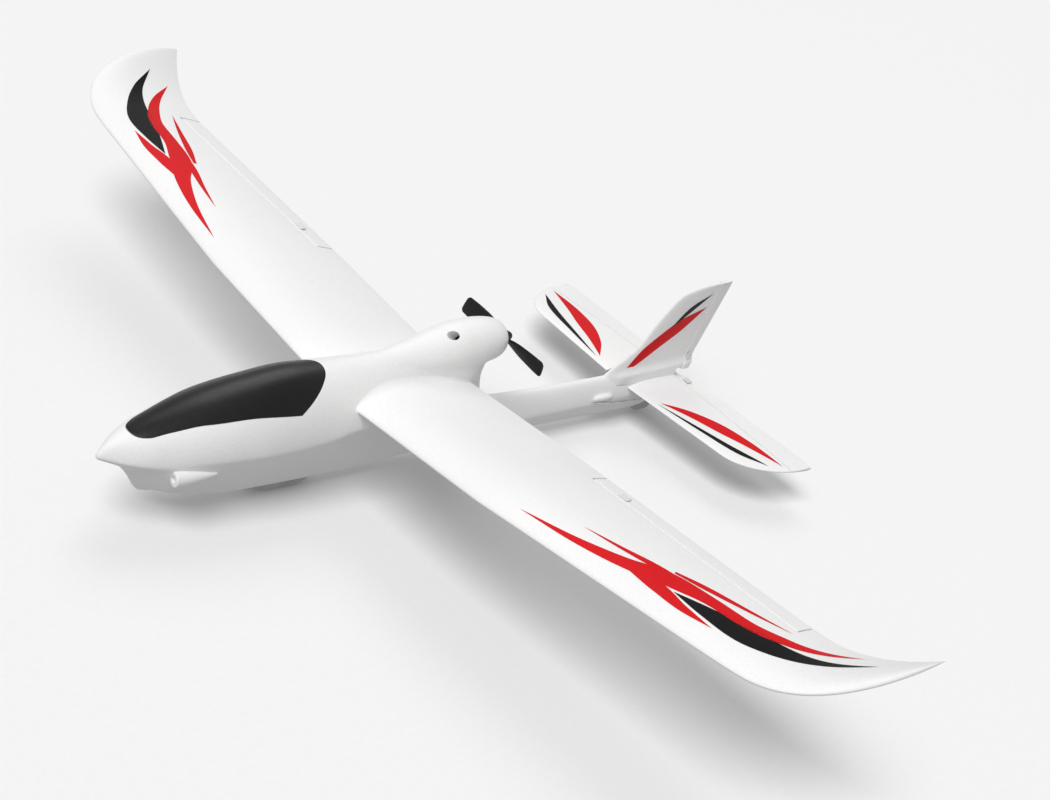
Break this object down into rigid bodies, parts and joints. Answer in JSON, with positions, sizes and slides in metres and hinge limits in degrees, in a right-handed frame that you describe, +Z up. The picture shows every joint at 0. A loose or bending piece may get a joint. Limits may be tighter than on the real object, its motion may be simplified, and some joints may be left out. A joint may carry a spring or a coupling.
{
  "type": "radio controlled glider",
  "caption": "Moulded foam model glider with a pod motor and pusher propeller, hinged control surfaces and a lift-up canopy hatch.",
  "frame": {"origin": "centre of the belly skid's flat resting face", "axes": "+X towards the left wing tip, +Y aft along the fuselage, +Z up"},
  "size_m": [0.6, 0.4548, 0.0984],
  "materials": {
    "white_foam": "fine matt bead foam",
    "black_hatch": "satin black film over foam",
    "black_plastic": "black moulded nylon",
    "white_plastic": "white moulded nylon",
    "servo_case": "translucent blue servo case",
    "circuit_board": "green circuit board",
    "battery_wrap": "shrink wrap over cells",
    "steel": "bright steel",
    "carbon": "pultruded carbon",
    "plywood": "birch plywood",
    "silicone_lead": "red silicone insulation"
  },
  "bodies": {
    "airframe": {"fuselage_left_half": "white_foam", "fuselage_right_half": "white_foam", "wing_left": "white_foam", "wing_right": "white_foam", "tailplane": "white_foam", "fin": "white_foam", "belly_skid": "white_plastic", "tail_skid": "white_plastic", "motor_mount": "white_plastic", "elevator_servo": "servo_case", "rudder_servo": "servo_case", "aileron_servo_left": "servo_case", "aileron_servo_right": "servo_case", "fuselage_magnet": "steel", "motor_case": "steel", "motor_screw_upper": "steel", "motor_screw_lower": "steel", "battery_strap": "black_plastic", "wing_joiner": "carbon", "equipment_tray": "plywood", "battery": "battery_wrap", "flight_board": "circuit_board", "battery_lead": "silicone_lead", "motor_lead": "silicone_lead"},
    "propeller": {"propeller": "black_plastic", "motor_shaft": "steel", "propeller_nut": "black_plastic"},
    "canopy": {"canopy_hatch": "black_hatch", "hatch_magnet": "steel"},
    "elevator": {"elevator": "white_foam", "elevator_horn": "white_plastic", "elevator_horn_keeper": "white_plastic"},
    "rudder": {"rudder": "white_foam", "rudder_horn": "white_plastic", "rudder_horn_keeper": "white_plastic"},
    "aileron_left": {"aileron_left": "white_foam", "aileron_horn_left": "white_plastic", "aileron_horn_keeper_left": "white_plastic"},
    "aileron_arm_left": {"aileron_servo_arm_left": "white_plastic"},
    "aileron_rod_left": {"aileron_pushrod_left": "steel"},
    "aileron_right": {"aileron_right": "white_foam", "aileron_horn_right": "white_plastic", "aileron_horn_keeper_right": "white_plastic"},
    "aileron_arm_right": {"aileron_servo_arm_right": "white_plastic"},
    "aileron_rod_right": {"aileron_pushrod_right": "steel"},
    "elevator_arm": {"elevator_servo_arm": "white_plastic"},
    "elevator_rod": {"elevator_pushrod": "steel"},
    "rudder_arm": {"rudder_servo_arm": "white_plastic"},
    "rudder_rod": {"rudder_pushrod": "steel"}
  },
  "joints": [
    {"name": "propeller_spin", "type": "hinge", "parent": "airframe", "child": "propeller", "pos_m": [0, 0.134, 0.0729], "axis": [0, 1, 0], "continuous": true},
    {"name": "canopy_open", "type": "hinge", "parent": "airframe", "child": "canopy", "pos_m": [0, -0.1002, 0.0464], "axis": [1, 0, 0], "range_deg": [0, 60]},
    {"name": "elevator_hinge", "type": "hinge", "parent": "airframe", "child": "elevator", "pos_m": [0, 0.318, 0.0256], "axis": [1, 0, 0], "range_deg": [-20, 20]},
    {"name": "rudder_hinge", "type": "hinge", "parent": "airframe", "child": "rudder", "pos_m": [0, 0.3253, 0.0524], "axis": [0, 0.0896, 0.996], "range_deg": [-25, 25]},
    {"name": "aileron_left_hinge", "type": "hinge", "parent": "airframe", "child": "aileron_left", "pos_m": [0.1138, 0.0928, 0.064], "axis": [0.994, -0.0589, 0.0921], "range_deg": [-20, 20]},
    {"name": "aileron_right_hinge", "type": "hinge", "parent": "airframe", "child": "aileron_right", "pos_m": [-0.1138, 0.0928, 0.064], "axis": [0.994, 0.0589, -0.0921], "range_deg": [-20, 20]},
    {"name": "elevator_arm_pivot", "type": "hinge", "parent": "airframe", "child": "elevator_arm", "pos_m": [0.0119, 0.033, 0.0384], "axis": [1, 0, 0], "range_deg": [-20, 20]},
    {"name": "elevator_rod_slide", "type": "slide", "parent": "airframe", "child": "elevator_rod", "axis": [0, 1, 0], "range_m": [-0.0034, 0.0034]},
    {"name": "rudder_arm_pivot", "type": "hinge", "parent": "airframe", "child": "rudder_arm", "pos_m": [-0.0119, 0.033, 0.0384], "axis": [1, 0, 0], "range_deg": [-25, 25]},
    {"name": "rudder_rod_slide", "type": "slide", "parent": "airframe", "child": "rudder_rod", "axis": [0, 1, 0], "range_m": [-0.0042, 0.0042]},
    {"name": "aileron_arm_left_pivot", "type": "hinge", "parent": "airframe", "child": "aileron_arm_left", "pos_m": [0.12899, 0.042, 0.06387], "axis": [0.9958, 0, 0.0917], "range_deg": [-20, 20]},
    {"name": "aileron_rod_left_slide", "type": "slide", "parent": "airframe", "child": "aileron_rod_left", "axis": [0, 1, 0], "range_m": [-0.0034, 0.0034]},
    {"name": "aileron_arm_right_pivot", "type": "hinge", "parent": "airframe", "child": "aileron_arm_right", "pos_m": [-0.12899, 0.042, 0.06387], "axis": [0.9958, 0, -0.0917], "range_deg": [-20, 20]},
    {"name": "aileron_rod_right_slide", "type": "slide", "parent": "airframe", "child": "aileron_rod_right", "axis": [0, 1, 0], "range_m": [-0.0034, 0.0034]}
  ],
  "couplings": [
    {"joint": "aileron_right_hinge", "follows": "aileron_left_hinge", "ratio": -1},
    {"joint": "aileron_arm_left_pivot", "follows": "aileron_left_hinge", "ratio": 1},
    {"joint": "aileron_rod_left_slide", "follows": "aileron_left_hinge", "m_per_rad": 0.0095},
    {"joint": "aileron_arm_right_pivot", "follows": "aileron_left_hinge", "ratio": -1},
    {"joint": "aileron_rod_right_slide", "follows": "aileron_left_hinge", "m_per_rad": -0.0095},
    {"joint": "elevator_arm_pivot", "follows": "elevator_hinge", "ratio": 1},
    {"joint": "elevator_rod_slide", "follows": "elevator_hinge", "m_per_rad": 0.0095},
    {"joint": "rudder_arm_pivot", "follows": "rudder_hinge", "ratio": -1},
    {"joint": "rudder_rod_slide", "follows": "rudder_hinge", "m_per_rad": -0.0095}
  ]
}
